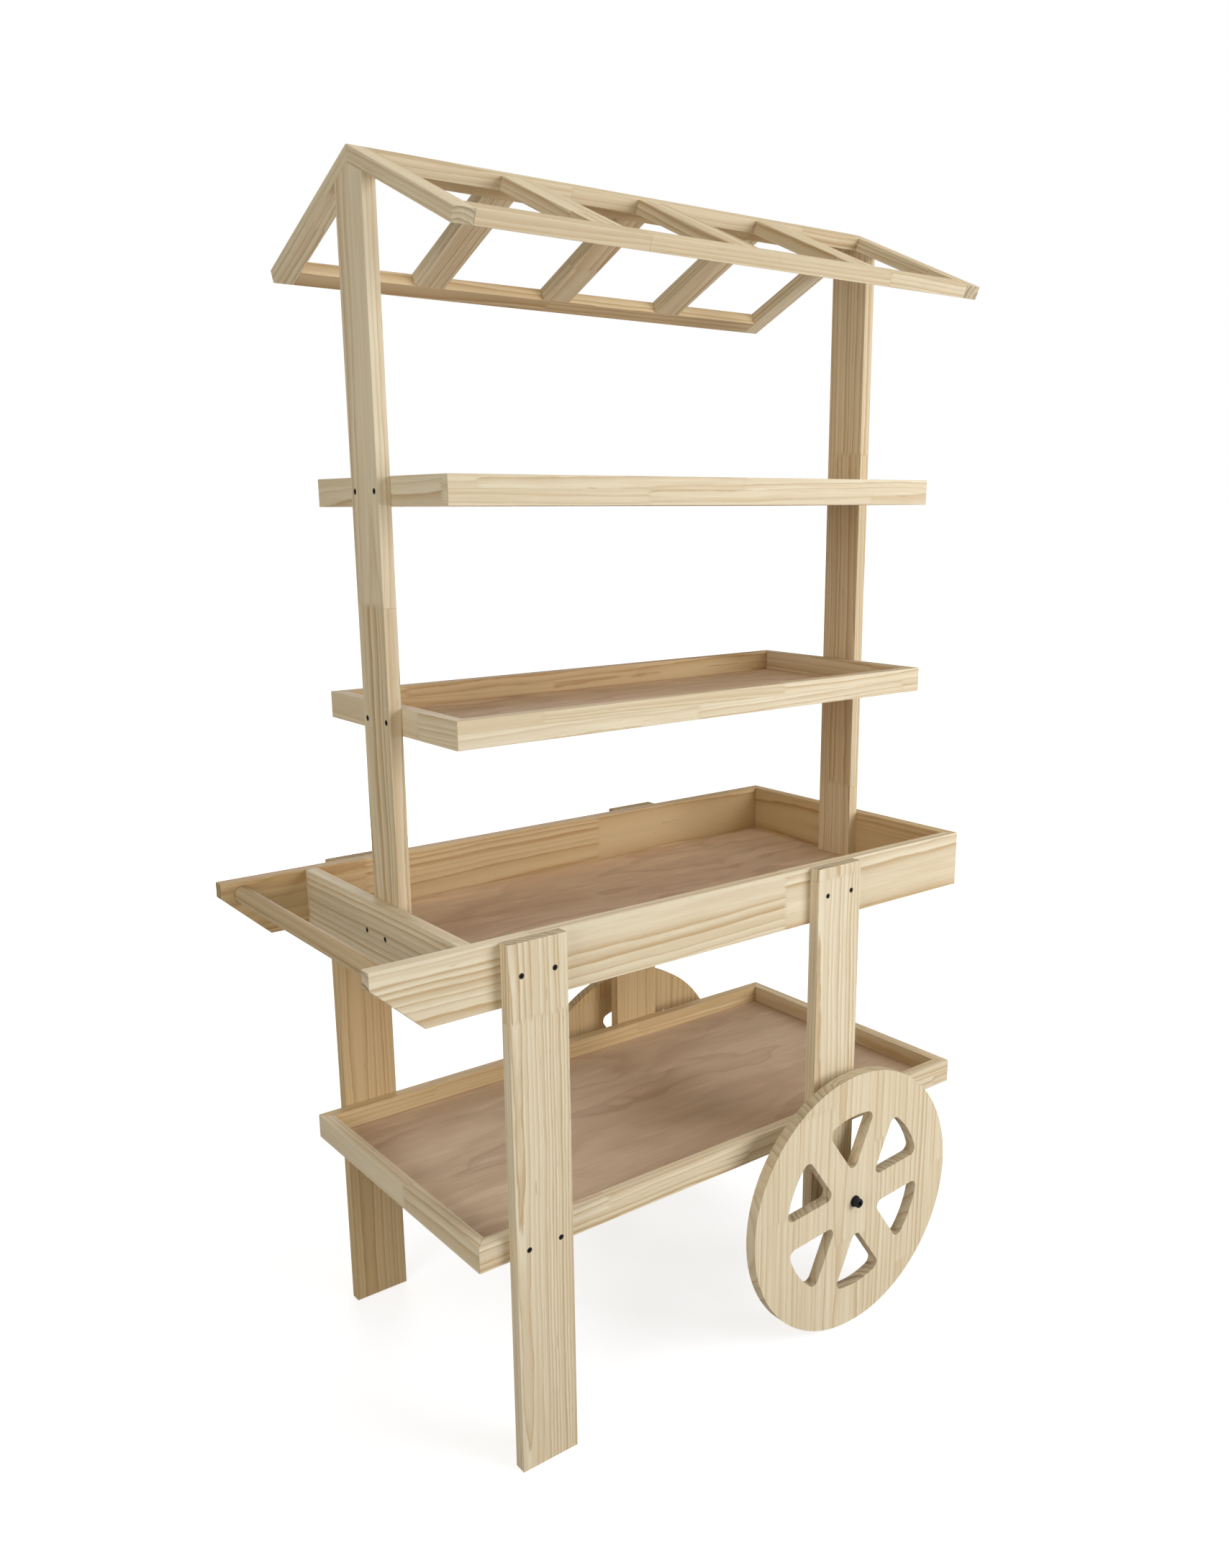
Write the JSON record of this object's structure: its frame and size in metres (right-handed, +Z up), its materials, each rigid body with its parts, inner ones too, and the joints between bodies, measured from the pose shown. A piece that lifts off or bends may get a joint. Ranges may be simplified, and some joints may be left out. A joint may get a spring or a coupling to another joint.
{
  "type": "push vending cart",
  "caption": "Wooden push cart with a deep display tray, lower tray, handle bar, legs, spoked wheels, shelves between posts and an open gable roof frame.",
  "frame": {"origin": "on the floor at the centre of the cart's footprint, where the handle-side legs and the wheels stand", "axes": "+X from the handle end to the wheel end, -Y the front, +Z up"},
  "size_m": [1.147, 0.6786, 1.833],
  "materials": {
    "pine_board": "planed, unfinished",
    "wheel_pine": "planed, unfinished",
    "dowel": "turned, unfinished",
    "plywood": "sanded, unfinished",
    "screw_black": "black coating, satin",
    "axle_hardware": "black oxide, satin"
  },
  "bodies": {
    "cart_frame": {"axle_bolt_back": "axle_hardware", "axle_bolt_front": "axle_hardware", "axle_nut_back": "axle_hardware", "axle_nut_front": "axle_hardware", "axle_spacer_back": "axle_hardware", "axle_spacer_front": "axle_hardware", "axle_washer_back": "axle_hardware", "axle_washer_front": "axle_hardware", "end_board_far": "pine_board", "end_board_handle": "pine_board", "handle_bar": "dowel", "high_shelf_floor": "plywood", "high_shelf_rail_back": "pine_board", "high_shelf_rail_far": "pine_board", "high_shelf_rail_front": "pine_board", "high_shelf_rail_handle": "pine_board", "high_shelf_screws": "screw_black", "leg_handle_back": "pine_board", "leg_handle_front": "pine_board", "leg_lower_screws": "screw_black", "leg_tray_screws": "screw_black", "leg_wheel_back": "pine_board", "leg_wheel_front": "pine_board", "low_shelf_floor": "plywood", "low_shelf_rail_back": "pine_board", "low_shelf_rail_far": "pine_board", "low_shelf_rail_front": "pine_board", "low_shelf_rail_handle": "pine_board", "low_shelf_screws": "screw_black", "lower_tray_floor": "plywood", "lower_tray_rail_back": "pine_board", "lower_tray_rail_far": "pine_board", "lower_tray_rail_front": "pine_board", "lower_tray_rail_handle": "pine_board", "post_far": "pine_board", "post_handle": "pine_board", "post_screws": "screw_black", "roof_back_eave_rail": "pine_board", "roof_back_end_rafter_far": "pine_board", "roof_back_end_rafter_handle": "pine_board", "roof_back_rafter_1": "pine_board", "roof_back_rafter_2": "pine_board", "roof_back_rafter_3": "pine_board", "roof_back_ridge_rail": "pine_board", "roof_front_eave_rail": "pine_board", "roof_front_end_rafter_far": "pine_board", "roof_front_end_rafter_handle": "pine_board", "roof_front_rafter_1": "pine_board", "roof_front_rafter_2": "pine_board", "roof_front_rafter_3": "pine_board", "roof_front_ridge_rail": "pine_board", "side_board_back": "pine_board", "side_board_front": "pine_board", "tray_floor": "plywood"},
    "front_wheel": {"wheel_front": "wheel_pine"},
    "back_wheel": {"wheel_back": "wheel_pine"}
  },
  "joints": [
    {"name": "front_wheel_spin", "type": "hinge", "parent": "cart_frame", "child": "front_wheel", "pos_m": [0.2595, -0.317, 0.23], "axis": [0, 1, 0], "continuous": true},
    {"name": "back_wheel_spin", "type": "hinge", "parent": "cart_frame", "child": "back_wheel", "pos_m": [0.2595, 0.317, 0.23], "axis": [0, 1, 0], "continuous": true}
  ]
}
